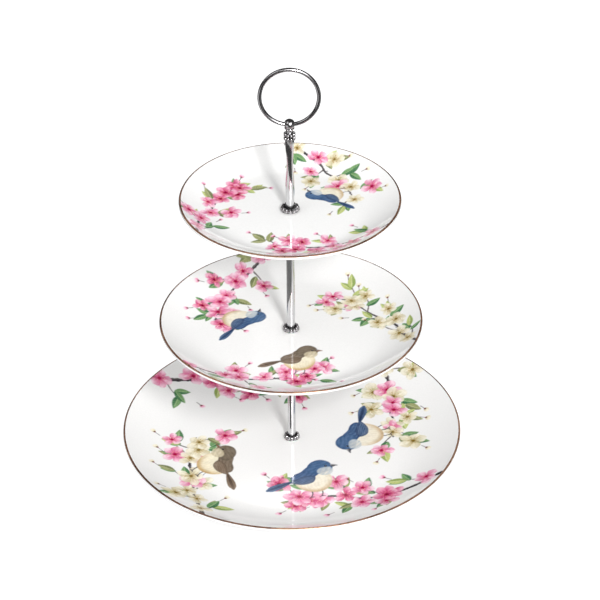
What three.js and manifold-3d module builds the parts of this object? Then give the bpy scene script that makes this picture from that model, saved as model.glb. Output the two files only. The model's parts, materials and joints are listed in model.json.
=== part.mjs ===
// Three-tier cake stand: white porcelain coupe plates on a chromed spine that screws together,
// with a beaded finial and a swinging ring handle on top.
// Millimetres, +Z up. The origin is the centre of the bottom plate's foot ring, on the table.
// The stand's front faces -Y, and its spine is the Z axis.

import * as THREE from 'three';
import { mergeVertices } from 'three/addons/utils/BufferGeometryUtils.js';
import Module from 'manifold-3d';

const wasm = await Module();
wasm.setup();

// ---- Driving dimensions -------------------------------------------------------------------

// One entry per plate: heights are above the table, radii are from the spine.
const BOTTOM = {
  wellHeight: 10.0,
  rimHeight: 22.0,
  rimRadius: 130.0,
  wallWidth: 42.0,
  thickness: 3.8,
  footRadius: 77.0,
  footHeight: 6.2,
  rosetteRadius: 6.2,
};
const MIDDLE = {
  wellHeight: 110.5,
  rimHeight: 122.0,
  rimRadius: 99.0,
  wallWidth: 34.0,
  thickness: 3.7,
  footRadius: 56.0,
  footHeight: 3.2,
  rosetteRadius: 6.4,
};
const TOP = {
  wellHeight: 216.0,
  rimHeight: 226.8,
  rimRadius: 81.5,
  wallWidth: 30.0,
  thickness: 3.6,
  footRadius: 44.0,
  footHeight: 3.0,
  rosetteRadius: 7.2,
};
const WALL_POWER = 1.7;          // how quickly the coupe wall curls up from the well
const LIP_RADIUS = 1.4;          // half the thickness of the rounded rim
const FOOT_WIDTH = 4.6;          // width of the foot ring where it meets the plate
const PLATE_HOLE_RADIUS = 3.5;

const GAP = 0.2;                 // space left between faces that touch on the real stand
const SOFT_WASHER = { radius: 5.6, thickness: 0.6 };
const CUSHION_WASHER = { radius: 7.5, thickness: 0.8 };
const STEEL_WASHER = { radius: 6.0, thickness: 0.8 };
const SUPPORT_WASHER = { radius: 8.0, thickness: 1.2 };

const THREAD_RADIUS = 2.0;       // M4
const THREADED_BORE_RADIUS = 2.2;
const THREAD_ENGAGEMENT = 8.0;
const STUD_SUNK_LENGTH = 12.0;
const SCREW_HEAD = { radius: 4.0, height: 2.2 };

const TUBE_RADIUS = 3.05;
const TUBE_END_ROUND = 1.0;
const ROSETTE_HEIGHT = 3.2;
const ROSETTE_LOBES = 12;
const ROSETTE_FLOOR = 1.2;       // thickness of the rosette under the tube's end
const SOCKET_RADIUS = 3.3;

const BALL_RADIUS = 4.1;
const BALL_HEIGHT = 288.4;
const PIN_RADIUS = 1.2;          // spindle under the ball, through neck and collars
const PIN_BORE_RADIUS = 1.45;
const PIN_SUNK_LENGTH = 6.0;
const BEAD_RADIUS = 1.3;
const BEAD_CIRCLE_RADIUS = 3.3;
const BEADS_PER_COLLAR = 8;
const COLLAR_HUB_RADIUS = 2.75;
const COLLAR_HEIGHT = 3.1;
const NECK = { footRadius: 2.8, waistRadius: 2.6, mouthRadius: 3.65, height: 4.2 };
const COLUMN_TOP_RADIUS = 3.35;
const COLUMN_WAIST_RADIUS = 2.5;
const COLUMN_BULGE_RADIUS = 3.3;
const COLUMN_FOOT_RADIUS = 3.0;

const RING_RADIUS = 21.3;        // centre line of the ring's wire
const RING_WIRE_RADIUS = 1.5;
const RING_HOLE_RADIUS = 2.0;
const RING_SAG = 0.2;            // how far the wire's lowest point lies under the swing axis
const RING_LEAN = THREE.MathUtils.degToRad(5.4);

const PLATE_SEGMENTS = 48;
const ROUND_SEGMENTS = 20;

// ---- Materials ----------------------------------------------------------------------------

const FINISHES = {
  porcelain: { color: 0xf4f3f0, roughness: 0.12, metalness: 0.0 },
  chrome: { color: 0xc9c9cc, roughness: 0.1, metalness: 1.0 },
  steel: { color: 0xa9abad, roughness: 0.35, metalness: 1.0 },
  soft: { color: 0xe9e8e2, roughness: 0.55, metalness: 0.0 },
};

// ---- Geometry helpers ---------------------------------------------------------------------

// Keeps positions only, merges shared vertices and drops triangles with no area.
function welded(geometry) {
  geometry.deleteAttribute('normal');
  geometry.deleteAttribute('uv');
  const merged = mergeVertices(geometry, 1e-4);
  const kept = [];
  const index = merged.index.array;
  for (let i = 0; i < index.length; i += 3) {
    const [a, b, c] = [index[i], index[i + 1], index[i + 2]];
    if (a !== b && b !== c && c !== a) {
      kept.push(a, b, c);
    }
  }
  merged.setIndex(kept);
  return merged;
}

// Turns a closed outline of [radius, height] points about the Z axis.
function turned(outline, segments) {
  let area = 0;
  outline.forEach(([r, z], i) => {
    const [nextR, nextZ] = outline[(i + 1) % outline.length];
    area += r * nextZ - nextR * z;
  });
  const ordered = area > 0 ? [...outline] : [...outline].reverse();
  ordered.push(ordered[0]);
  const points = ordered.map(([r, z]) => new THREE.Vector2(r, z));
  const geometry = new THREE.LatheGeometry(points, segments);
  geometry.rotateX(Math.PI / 2);
  return welded(geometry);
}

// A plain ring from one height up to another.
function washer(innerRadius, outerRadius, low, high) {
  const outline = [
    [innerRadius, low],
    [outerRadius, low],
    [outerRadius, high],
    [innerRadius, high],
  ];
  return turned(outline, ROUND_SEGMENTS);
}

// A solid round bar with small bevels, turned about Z.
function bar(radius, low, high) {
  const bevel = 0.4;
  const outline = [
    [0, low],
    [radius - bevel, low],
    [radius, low + bevel],
    [radius, high - bevel],
    [radius - bevel, high],
    [0, high],
  ];
  return turned(outline, ROUND_SEGMENTS);
}

function toManifold(geometry) {
  const mesh = new wasm.Mesh({
    numProp: 3,
    vertProperties: Float32Array.from(geometry.attributes.position.array),
    triVerts: Uint32Array.from(geometry.index.array),
  });
  return new wasm.Manifold(mesh);
}

function fromManifold(solid) {
  const mesh = solid.getMesh();
  const geometry = new THREE.BufferGeometry();
  geometry.setAttribute('position', new THREE.BufferAttribute(mesh.vertProperties, mesh.numProp));
  geometry.setIndex(new THREE.BufferAttribute(mesh.triVerts, 1));
  return geometry;
}

// Points on an arc about (r, z), from one angle to another in radians.
function arc(r, z, radius, from, to, steps) {
  const points = [];
  for (let i = 0; i <= steps; i += 1) {
    const angle = from + ((to - from) * i) / steps;
    points.push([r + radius * Math.cos(angle), z + radius * Math.sin(angle)]);
  }
  return points;
}

// ---- Plates -------------------------------------------------------------------------------

// The coupe section is a middle line with half the wall's thickness laid off on each side:
// level across the well, curling up through the wall, and closed by a half-round lip.
function plate(tier) {
  const wellRadius = tier.rimRadius - tier.wallWidth;
  const endRadius = tier.rimRadius - LIP_RADIUS;
  const wellMiddle = tier.wellHeight - tier.thickness / 2;
  const climb = tier.rimHeight - LIP_RADIUS - wellMiddle;
  const width = endRadius - wellRadius;
  const steps = 6;
  const upper = [];
  const lower = [];
  let lean = 0;
  for (let i = 0; i <= steps; i += 1) {
    const u = i / steps;
    const half = tier.thickness / 2 + (LIP_RADIUS - tier.thickness / 2) * u;
    lean = Math.atan((WALL_POWER * climb * u ** (WALL_POWER - 1)) / width);
    const r = wellRadius + width * u;
    const z = wellMiddle + climb * u ** WALL_POWER;
    upper.push([r - half * Math.sin(lean), z + half * Math.cos(lean)]);
    lower.push([r + half * Math.sin(lean), z - half * Math.cos(lean)]);
  }
  const lipTurn = lean - Math.PI / 2;
  const lipHeight = tier.rimHeight - LIP_RADIUS;
  const lip = [
    ...arc(endRadius, lipHeight, LIP_RADIUS, lipTurn, 0, 2).slice(0, -1),
    ...arc(endRadius, lipHeight, LIP_RADIUS, 0, Math.PI / 2, 2),
    ...arc(endRadius, lipHeight, LIP_RADIUS, Math.PI / 2, lipTurn + Math.PI, 1).slice(1),
  ];
  const underside = tier.wellHeight - tier.thickness;
  const tread = underside - tier.footHeight;
  const outline = [
    [PLATE_HOLE_RADIUS, underside],
    [tier.footRadius - FOOT_WIDTH, underside],
    [tier.footRadius - FOOT_WIDTH + 0.5, tread + 0.5],
    [tier.footRadius - FOOT_WIDTH + 1.0, tread],
    [tier.footRadius - 1.0, tread],
    [tier.footRadius - 0.5, tread + 0.5],
    [tier.footRadius, underside],
    ...lower.slice(0, -1),
    ...lip,
    ...upper.slice(0, -1).reverse(),
    [PLATE_HOLE_RADIUS, tier.wellHeight],
  ];
  return turned(outline, PLATE_SEGMENTS);
}

// ---- Spine --------------------------------------------------------------------------------

// Where the pieces under and over one plate start and stop, from the plate's own heights.
function stack(tier) {
  const softLow = tier.wellHeight + GAP;
  const softHigh = softLow + SOFT_WASHER.thickness;
  const rosetteLow = softHigh + GAP;
  const cushionHigh = tier.wellHeight - tier.thickness - GAP;
  const cushionLow = cushionHigh - CUSHION_WASHER.thickness;
  const steelHigh = cushionLow - GAP;
  return {
    softLow,
    softHigh,
    rosetteLow,
    rodLow: rosetteLow + ROSETTE_FLOOR + GAP,
    threadHigh: rosetteLow + THREAD_ENGAGEMENT,
    cushionLow,
    cushionHigh,
    steelHigh,
    rodHigh: steelHigh - SUPPORT_WASHER.thickness - GAP,
  };
}

// Cast rosette at a rod's foot: a low ring of rounded lobes with a socket for the rod's end.
function rosette(tier) {
  const low = stack(tier).rosetteLow;
  const crestRadius = (SOCKET_RADIUS + 0.4 + tier.rosetteRadius) / 2;
  const halfWidth = tier.rosetteRadius - crestRadius;
  const crest = arc(0, 0, 1, 0, Math.PI, 6).map(([c, s]) => [
    crestRadius + halfWidth * c,
    low + 0.5 + (ROSETTE_HEIGHT - 0.5) * s,
  ]);
  const outline = [
    [THREADED_BORE_RADIUS, low],
    [tier.rosetteRadius - 0.3, low],
    ...crest,
    [SOCKET_RADIUS, low + ROSETTE_FLOOR],
    [THREADED_BORE_RADIUS, low + ROSETTE_FLOOR],
  ];
  const geometry = turned(outline, ROSETTE_LOBES * 3);
  const position = geometry.attributes.position;
  const lobeDepth = 0.35;
  for (let i = 0; i < position.count; i += 1) {
    const x = position.getX(i);
    const y = position.getY(i);
    const radius = Math.hypot(x, y);
    if (radius > crestRadius) {
      const lobe = 0.5 - 0.5 * Math.cos(ROSETTE_LOBES * Math.atan2(y, x));
      const share = (radius - crestRadius) / halfWidth;
      const scale = (radius - lobeDepth * lobe * share) / radius;
      position.setXY(i, x * scale, y * scale);
    }
  }
  return geometry;
}

// Straight rod tube with an open bore, its lower end rounded where it stands in the rosette.
function tube(lowerTier, upperTier) {
  const low = stack(lowerTier).rodLow;
  const high = stack(upperTier).rodHigh;
  const cornerRadius = TUBE_RADIUS - TUBE_END_ROUND;
  const outline = [
    [THREADED_BORE_RADIUS, low],
    ...arc(cornerRadius, low + TUBE_END_ROUND, TUBE_END_ROUND, -1.3, 0, 4),
    [TUBE_RADIUS, high - 0.3],
    [TUBE_RADIUS - 0.3, high],
    [THREADED_BORE_RADIUS, high],
  ];
  return turned(outline, ROUND_SEGMENTS);
}

// Threaded stud that is fixed in the top of a rod and reaches through the next plate.
function stud(tier) {
  return bar(THREAD_RADIUS, stack(tier).rodHigh - STUD_SUNK_LENGTH, stack(tier).threadHigh);
}

// Domed machine screw that clamps the bottom plate to the lowest rod.
function bottomScrew() {
  const seat = stack(BOTTOM).cushionLow - GAP - STEEL_WASHER.thickness - GAP;
  const headLow = seat - SCREW_HEAD.height;
  const shankHigh = stack(BOTTOM).threadHigh;
  const outline = [
    [0, headLow],
    [1.6, headLow + 0.15],
    [3.0, headLow + 0.7],
    [3.8, headLow + 1.5],
    [SCREW_HEAD.radius, seat],
    [THREAD_RADIUS, seat],
    [THREAD_RADIUS, shankHigh - 0.4],
    [THREAD_RADIUS - 0.4, shankHigh],
    [0, shankHigh],
  ];
  return turned(outline, ROUND_SEGMENTS);
}

// ---- Handle -------------------------------------------------------------------------------

const upperCollarHeight = BALL_HEIGHT - 8.0;
const lowerCollarHeight = upperCollarHeight - COLLAR_HEIGHT - GAP;
const columnHigh = lowerCollarHeight - COLLAR_HEIGHT / 2 - GAP;

// Turned column: full at its head, drawn in to a waist, swelling again above its rounded foot.
function handleColumn() {
  const low = stack(TOP).rodLow;
  const boreHigh = stack(TOP).threadHigh + 1.0;
  const length = columnHigh - low;
  const shape = [
    [0.0, COLUMN_FOOT_RADIUS],
    [0.28, COLUMN_BULGE_RADIUS],
    [0.66, COLUMN_WAIST_RADIUS],
    [1.0, COLUMN_TOP_RADIUS],
  ];
  const outline = [
    [0, boreHigh],
    [THREADED_BORE_RADIUS, boreHigh],
    [THREADED_BORE_RADIUS, low],
    [COLUMN_FOOT_RADIUS - 0.6, low],
    [COLUMN_FOOT_RADIUS - 0.2, low + 0.4],
  ];
  for (let i = 1; i < shape.length; i += 1) {
    const [startShare, startRadius] = shape[i - 1];
    const [endShare, endRadius] = shape[i];
    const steps = 3;
    for (let k = 0; k < steps; k += 1) {
      const ease = 0.5 - 0.5 * Math.cos((Math.PI * k) / steps);
      const share = startShare + ((endShare - startShare) * k) / steps;
      const radius = startRadius + (endRadius - startRadius) * ease;
      outline.push([radius, low + 1.0 + share * (length - 1.0)]);
    }
  }
  outline.push(
    [COLUMN_TOP_RADIUS, columnHigh],
    [PIN_BORE_RADIUS, columnHigh],
    [PIN_BORE_RADIUS, columnHigh - PIN_SUNK_LENGTH - 0.5],
    [0, columnHigh - PIN_SUNK_LENGTH - 0.5],
  );
  return turned(outline, ROUND_SEGMENTS);
}

// Collar of round beads joined to a bored hub.
function beadCollar(height) {
  const low = height - COLLAR_HEIGHT / 2;
  const high = height + COLLAR_HEIGHT / 2;
  let solid = toManifold(washer(PIN_BORE_RADIUS, COLLAR_HUB_RADIUS, low, high));
  for (let i = 0; i < BEADS_PER_COLLAR; i += 1) {
    const angle = ((i + 0.5) * 2 * Math.PI) / BEADS_PER_COLLAR;
    const bead = new THREE.SphereGeometry(BEAD_RADIUS, 8, 6);
    bead.rotateX(Math.PI / 2);
    bead.translate(
      BEAD_CIRCLE_RADIUS * Math.cos(angle),
      BEAD_CIRCLE_RADIUS * Math.sin(angle),
      height,
    );
    solid = solid.add(toManifold(welded(bead)));
  }
  return fromManifold(solid);
}

// Cup-shaped neck whose mouth is a round seat for the ball.
function handleNeck() {
  const low = upperCollarHeight + COLLAR_HEIGHT / 2 + GAP;
  const high = low + NECK.height;
  const seatRadius = BALL_RADIUS + GAP;
  const seatFrom = -Math.acos((NECK.mouthRadius - 0.25) / seatRadius);
  const seatTo = -Math.acos(PIN_BORE_RADIUS / seatRadius);
  const outline = [
    [PIN_BORE_RADIUS, low],
    [NECK.footRadius, low],
    [NECK.waistRadius, low + 1.0],
    [NECK.waistRadius + 0.25, low + 2.0],
    [NECK.mouthRadius - 0.25, low + 3.2],
    [NECK.mouthRadius, high - 0.3],
    ...arc(0, BALL_HEIGHT, seatRadius, seatFrom, seatTo, 4),
  ];
  return turned(outline, ROUND_SEGMENTS);
}

// Ball with a cross hole for the ring and a spindle that strings neck and collars together.
function handleBall() {
  const ball = new THREE.SphereGeometry(BALL_RADIUS, 20, 14);
  ball.rotateX(Math.PI / 2);
  ball.translate(0, 0, BALL_HEIGHT);
  const hole = new THREE.CylinderGeometry(
    RING_HOLE_RADIUS,
    RING_HOLE_RADIUS,
    BALL_RADIUS * 3,
    16,
  );
  hole.rotateZ(Math.PI / 2);
  hole.translate(0, 0, BALL_HEIGHT);
  const pinHigh = BALL_HEIGHT - RING_HOLE_RADIUS - 0.8;
  const pin = bar(PIN_RADIUS, columnHigh - PIN_SUNK_LENGTH, pinHigh);
  const solid = toManifold(welded(ball)).add(toManifold(pin)).subtract(toManifold(welded(hole)));
  return fromManifold(solid);
}

// Closed wire ring, upright but leaning back a little on the swing axis.
function ringHandle() {
  const ring = new THREE.TorusGeometry(RING_RADIUS, RING_WIRE_RADIUS, 8, 48);
  ring.rotateX(Math.PI / 2);
  ring.translate(0, 0, RING_RADIUS - RING_SAG);
  ring.rotateX(-RING_LEAN);
  ring.translate(0, 0, BALL_HEIGHT);
  return welded(ring);
}

// ---- Assembly -----------------------------------------------------------------------------

const stand = new THREE.Group();

function add(name, finish, geometry) {
  const mesh = new THREE.Mesh(geometry, new THREE.MeshStandardMaterial(FINISHES[finish]));
  mesh.name = name;
  stand.add(mesh);
}

// Soft washer on top of a plate, under the rosette that clamps it.
function upperSoftWasher(tier) {
  const { softLow, softHigh } = stack(tier);
  return washer(THREAD_RADIUS + 0.3, SOFT_WASHER.radius, softLow, softHigh);
}

// Cushion washer between a plate and the steel under it.
function cushionWasher(tier) {
  const { cushionLow, cushionHigh } = stack(tier);
  return washer(THREAD_RADIUS + 0.3, CUSHION_WASHER.radius, cushionLow, cushionHigh);
}

// Steel disc on a rod's shoulder that carries the plate above it.
function supportWasher(tier) {
  const { steelHigh } = stack(tier);
  const low = steelHigh - SUPPORT_WASHER.thickness;
  return washer(THREAD_RADIUS + 0.3, SUPPORT_WASHER.radius, low, steelHigh);
}

const steelHigh = stack(BOTTOM).steelHigh;
const steelLow = steelHigh - STEEL_WASHER.thickness;
add('bottom_screw', 'steel', bottomScrew());
add('bottom_steel_washer', 'steel', washer(2.3, STEEL_WASHER.radius, steelLow, steelHigh));
add('bottom_plate_lower_soft_washer', 'soft', cushionWasher(BOTTOM));
add('bottom_plate', 'porcelain', plate(BOTTOM));
add('bottom_plate_upper_soft_washer', 'soft', upperSoftWasher(BOTTOM));

add('lower_foot', 'chrome', rosette(BOTTOM));
add('lower_tube', 'chrome', tube(BOTTOM, MIDDLE));
add('lower_stud', 'steel', stud(MIDDLE));
add('middle_support_washer', 'chrome', supportWasher(MIDDLE));
add('middle_plate_lower_soft_washer', 'soft', cushionWasher(MIDDLE));
add('middle_plate', 'porcelain', plate(MIDDLE));
add('middle_plate_upper_soft_washer', 'soft', upperSoftWasher(MIDDLE));

add('middle_foot', 'chrome', rosette(MIDDLE));
add('middle_tube', 'chrome', tube(MIDDLE, TOP));
add('middle_stud', 'steel', stud(TOP));
add('top_support_washer', 'chrome', supportWasher(TOP));
add('top_plate_lower_soft_washer', 'soft', cushionWasher(TOP));
add('top_plate', 'porcelain', plate(TOP));
add('top_plate_upper_soft_washer', 'soft', upperSoftWasher(TOP));

add('top_foot', 'chrome', rosette(TOP));
add('handle_column', 'chrome', handleColumn());
add('lower_bead_collar', 'chrome', beadCollar(lowerCollarHeight));
add('upper_bead_collar', 'chrome', beadCollar(upperCollarHeight));
add('handle_neck', 'chrome', handleNeck());
add('handle_ball', 'chrome', handleBall());
add('ring_handle', 'chrome', ringHandle());

export default stand;
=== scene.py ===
"""Three-tier porcelain cake stand: printed coupe plates on a chromed spine with a ring handle.

Lengths in this script are in millimetres, in the CAD frame, and become metres as a mesh is made.
"""

import json
import math

import bpy
import numpy as np
from mathutils import Matrix, Vector


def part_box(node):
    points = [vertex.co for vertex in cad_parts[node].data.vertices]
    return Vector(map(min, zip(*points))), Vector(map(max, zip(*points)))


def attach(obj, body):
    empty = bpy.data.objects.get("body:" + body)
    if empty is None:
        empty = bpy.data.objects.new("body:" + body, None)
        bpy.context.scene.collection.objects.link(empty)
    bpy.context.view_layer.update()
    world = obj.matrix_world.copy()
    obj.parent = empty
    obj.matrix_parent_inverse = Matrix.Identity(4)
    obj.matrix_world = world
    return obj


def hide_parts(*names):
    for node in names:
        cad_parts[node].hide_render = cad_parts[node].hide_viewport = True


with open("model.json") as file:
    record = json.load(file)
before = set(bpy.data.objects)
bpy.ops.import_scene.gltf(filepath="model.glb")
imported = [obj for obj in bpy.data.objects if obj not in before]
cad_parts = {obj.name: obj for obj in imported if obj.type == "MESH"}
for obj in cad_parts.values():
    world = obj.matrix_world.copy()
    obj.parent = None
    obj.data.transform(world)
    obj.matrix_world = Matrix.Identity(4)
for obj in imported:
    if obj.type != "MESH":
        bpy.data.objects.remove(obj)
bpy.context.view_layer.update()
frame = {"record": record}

MM = 0.001


# ---- Mesh helpers -------------------------------------------------------------------------

def placed(name, data):
    """An object made from a mesh, light or camera and put in the scene."""
    ob = bpy.data.objects.new(name, data)
    bpy.context.scene.collection.objects.link(ob)
    return ob


def piece(name, vertices, faces, material, body, slot, replaced=(), crease=35.0):
    """A smooth-shaded mesh piece, from millimetre vertices, that rides on a body."""
    mesh = bpy.data.meshes.new(name)
    mesh.from_pydata((np.asarray(vertices) * MM).tolist(), [], faces)
    mesh.shade_smooth()
    mesh.set_sharp_from_angle(angle=math.radians(crease))
    mesh.materials.append(material)
    ob = placed(name, mesh)
    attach(ob, body)
    if replaced:
        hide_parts(*replaced)
    return ob


def arc(r, z, radius, start, end, steps):
    """Outline points on an arc about (r, z), between two angles in degrees."""
    angles = np.radians(np.linspace(start, end, steps + 1))
    return [(r + radius * math.cos(a), z + radius * math.sin(a)) for a in angles]


def turned(outline, segments, shape=None, closed=False):
    """Turns an outline of (radius, height) about Z; shape may reset a radius by its angle."""
    rings = []
    vertices = []
    for radius, height in outline:
        if radius < 1e-6:
            rings.append([len(vertices)] * segments)
            vertices.append((0.0, 0.0, height))
            continue
        rings.append(list(range(len(vertices), len(vertices) + segments)))
        for k in range(segments):
            angle = 2 * math.pi * k / segments
            r = shape(radius, angle) if shape else radius
            vertices.append((r * math.cos(angle), r * math.sin(angle), height))
    faces = []
    pairs = list(zip(rings, rings[1:]))
    if closed:
        pairs.append((rings[-1], rings[0]))
    for low, high in pairs:
        for k in range(segments):
            n = (k + 1) % segments
            corners = [low[k], low[n], high[n], high[k]]
            kept = [c for i, c in enumerate(corners) if c not in corners[:i]]
            if len(kept) > 2:
                faces.append(kept)
    return np.array(vertices), faces


def bands(rows, around):
    """Quads between rows of vertices that each close on themselves, in order."""
    return [
        (j * around + k, j * around + (k + 1) % around,
         (j + 1) * around + (k + 1) % around, (j + 1) * around + k)
        for j in range(rows)
        for k in range(around)
    ]


def joined(*parts):
    """Several (vertices, faces) lists as one."""
    vertices = []
    faces = []
    count = 0
    for some_vertices, some_faces in parts:
        vertices.append(np.asarray(some_vertices))
        faces += [[c + count for c in face] for face in some_faces]
        count += len(some_vertices)
    return np.concatenate(vertices), faces


def spline(points, per=8, closed=False):
    """A smooth Catmull-Rom curve through the points."""
    p = np.asarray(points, float)
    n = len(p)
    if closed:
        before, after = np.roll(p, 1, 0), np.roll(p, -1, 0)
        beyond = np.roll(p, -2, 0)
        spans = n
    else:
        before = np.vstack([p[:1], p[:-1]])
        after = np.vstack([p[1:], p[-1:]])
        beyond = np.vstack([p[2:], p[-1:], p[-1:]])
        spans = n - 1
    t = np.linspace(0, 1, per, endpoint=False)[:, None]
    rows = []
    for i in range(spans):
        a, b, c, d = before[i], p[i], after[i], beyond[i]
        rows.append(
            b + 0.5 * t * (c - a + t * (2 * a - 5 * b + 4 * c - d + t * (3 * (b - c) + d - a)))
        )
    if not closed:
        rows.append(p[-1:])
    return np.vstack(rows)


# ---- Materials ----------------------------------------------------------------------------

class Shading:
    """A node material around one Principled shader."""

    def __init__(self, name):
        self.material = bpy.data.materials.new(name)
        self.material.use_nodes = True
        self.nodes = self.material.node_tree.nodes
        self.links = self.material.node_tree.links
        self.shader = self.nodes["Principled BSDF"]

    def set(self, **sockets):
        for name, value in sockets.items():
            self.shader.inputs[name.replace("_", " ")].default_value = value

    def add(self, kind, **settings):
        node = self.nodes.new(kind)
        for name, value in settings.items():
            if name in node.inputs:
                node.inputs[name].default_value = value
            else:
                setattr(node, name, value)
        return node

    def link(self, source, target):
        self.links.new(source, target)

    def place(self):
        """Coordinates fixed to the piece, in metres."""
        return self.add("ShaderNodeTexCoord").outputs["Object"]

    def noise(self, scale, detail=3.0, roughness=0.5):
        node = self.add("ShaderNodeTexNoise", Scale=scale, Detail=detail, Roughness=roughness)
        self.link(self.place(), node.inputs["Vector"])
        return node.outputs["Fac"]

    def ramp(self, fac, stops):
        node = self.add("ShaderNodeValToRGB")
        elements = node.color_ramp.elements
        for i, (position, colour) in enumerate(stops):
            element = elements[i] if i < 2 else elements.new(position)
            element.position = position
            element.color = (*colour, 1.0)
        self.link(fac, node.inputs["Fac"])
        return node.outputs["Color"]

    def span(self, fac, low, high):
        """A 0 to 1 value stretched to run from low to high."""
        node = self.add("ShaderNodeMapRange", **{"To Min": low, "To Max": high})
        self.link(fac, node.inputs["Value"])
        return node.outputs["Result"]

    def mix(self, fac, first, second, blend="MIX"):
        node = self.add("ShaderNodeMix", data_type="RGBA", blend_type=blend)
        for value, socket in ((fac, node.inputs[0]), (first, node.inputs[6]), (second, node.inputs[7])):
            if isinstance(value, bpy.types.NodeSocket):
                self.link(value, socket)
            else:
                socket.default_value = value
        return node.outputs[2]

    def bump(self, height, strength, distance):
        node = self.add("ShaderNodeBump", Strength=strength, Distance=distance)
        self.link(height, node.inputs["Height"])
        self.link(node.outputs["Normal"], self.shader.inputs["Normal"])


GLAZE_WHITE = (0.915, 0.912, 0.905)
GLAZE_SHADE = (0.895, 0.893, 0.888)


def glaze_surface(s):
    """What fired glaze does over any ground: a hard gloss, waviness and faint pooling."""
    s.link(s.span(s.noise(35.0, 4.0), 0.05, 0.11), s.shader.inputs["Roughness"])
    s.set(IOR=1.5, Coat_Weight=0.6, Coat_Roughness=0.03, Coat_IOR=1.5)
    s.bump(s.noise(22.0, 2.0), 0.12, 0.0006)


def porcelain_material():
    s = Shading("glazed_porcelain")
    cloud = s.ramp(s.noise(12.0, 3.0), [(0.35, GLAZE_SHADE), (0.65, GLAZE_WHITE)])
    specks = s.ramp(s.noise(2600.0, 1.0), [(0.74, (1, 1, 1)), (0.82, (0.93, 0.91, 0.88))])
    s.link(s.mix(1.0, cloud, specks, "MULTIPLY"), s.shader.inputs["Base Color"])
    glaze_surface(s)
    s.set(Subsurface_Weight=0.06, Subsurface_Scale=0.004)
    s.shader.inputs["Subsurface Radius"].default_value = (1.0, 0.95, 0.85)
    return s.material


def bisque_material():
    """The unglazed ring that the plate was fired on: dry, slightly grey and finely pitted."""
    s = Shading("bisque_foot_ring")
    grit = s.noise(1900.0, 4.0, 0.7)
    stain = s.noise(60.0, 4.0)
    tone = s.ramp(grit, [(0.3, (0.66, 0.63, 0.58)), (0.7, (0.82, 0.80, 0.76))])
    grey = s.ramp(stain, [(0.45, (1, 1, 1)), (0.75, (0.86, 0.84, 0.80))])
    s.link(s.mix(1.0, tone, grey, "MULTIPLY"), s.shader.inputs["Base Color"])
    s.link(s.span(stain, 0.62, 0.85), s.shader.inputs["Roughness"])
    s.bump(grit, 0.5, 0.0002)
    return s.material


def print_material():
    """Enamel print under the same glaze, coloured by the mesh's own painted colours."""
    s = Shading("overglaze_print_enamel")
    paint = s.add("ShaderNodeVertexColor", layer_name="print").outputs["Color"]
    grain = s.ramp(s.noise(900.0, 2.0), [(0.3, (0.965, 0.965, 0.965)), (0.7, (1, 1, 1))])
    s.link(s.mix(1.0, paint, grain, "MULTIPLY"), s.shader.inputs["Base Color"])
    glaze_surface(s)
    return s.material


def lustre_material():
    """Burnished rose-gold line, worn thin and browned in places round the rim."""
    s = Shading("rim_lustre_line")
    wear = s.noise(26.0, 3.0)
    fine = s.noise(420.0, 3.0)
    tone = s.ramp(
        wear,
        [(0.35, (0.16, 0.085, 0.055)), (0.52, (0.36, 0.19, 0.12)), (0.68, (0.58, 0.34, 0.22))],
    )
    fleck = s.ramp(fine, [(0.35, (0.75, 0.72, 0.70)), (0.6, (1, 1, 1))])
    s.link(s.mix(1.0, tone, fleck, "MULTIPLY"), s.shader.inputs["Base Color"])
    s.link(s.span(fine, 0.18, 0.42), s.shader.inputs["Roughness"])
    s.set(Metallic=0.55)
    return s.material


def chrome_material(name, dull, bright, gloss):
    """Plated metal with faint polishing marks, smears from handling and tiny pits."""
    s = Shading(name)
    smear = s.noise(55.0, 4.0, 0.6)
    s.link(s.ramp(smear, [(0.3, dull), (0.7, bright)]), s.shader.inputs["Base Color"])
    s.link(s.span(smear, *gloss), s.shader.inputs["Roughness"])
    s.set(Metallic=1.0)
    s.bump(s.noise(1400.0, 3.0), 0.05, 0.0001)
    return s.material


def steel_material():
    """Zinc-plated steel: a duller, bluish grey with fine turning marks."""
    s = Shading("zinc_plated_steel")
    marks = s.noise(700.0, 5.0, 0.7)
    patches = s.noise(90.0, 2.0)
    tone = s.ramp(marks, [(0.3, (0.42, 0.43, 0.45)), (0.7, (0.62, 0.63, 0.65))])
    tint = s.ramp(patches, [(0.4, (1, 1, 1)), (0.7, (0.93, 0.90, 0.80))])
    s.link(s.mix(1.0, tone, tint, "MULTIPLY"), s.shader.inputs["Base Color"])
    s.link(s.span(marks, 0.28, 0.5), s.shader.inputs["Roughness"])
    s.set(Metallic=1.0)
    s.bump(marks, 0.25, 0.0001)
    return s.material


def soft_washer_material():
    """Milky silicone washer: matt, slightly yellowed, with dust in its skin."""
    s = Shading("silicone_washer")
    dust = s.noise(800.0, 4.0, 0.65)
    tone = s.ramp(dust, [(0.3, (0.80, 0.79, 0.74)), (0.7, (0.90, 0.895, 0.87))])
    s.link(tone, s.shader.inputs["Base Color"])
    s.link(s.span(dust, 0.45, 0.65), s.shader.inputs["Roughness"])
    s.set(Subsurface_Weight=0.2, Subsurface_Scale=0.002)
    s.bump(dust, 0.3, 0.0001)
    return s.material


porcelain = porcelain_material()
bisque = bisque_material()
print_enamel = print_material()
lustre = lustre_material()
chrome = chrome_material("chrome_plate", (0.60, 0.60, 0.61), (0.70, 0.70, 0.705), (0.07, 0.17))
cast_chrome = chrome_material(
    "cast_chrome_plate", (0.36, 0.35, 0.36), (0.52, 0.51, 0.52), (0.10, 0.22))
steel = steel_material()
silicone = soft_washer_material()


# ---- Print: brush -------------------------------------------------------------------------

PAINT_CELL = 0.25
WASH = 0.05                     # how strongly the paint's mottling shows
PAPER = (0.958, 0.957, 0.953)

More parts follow.
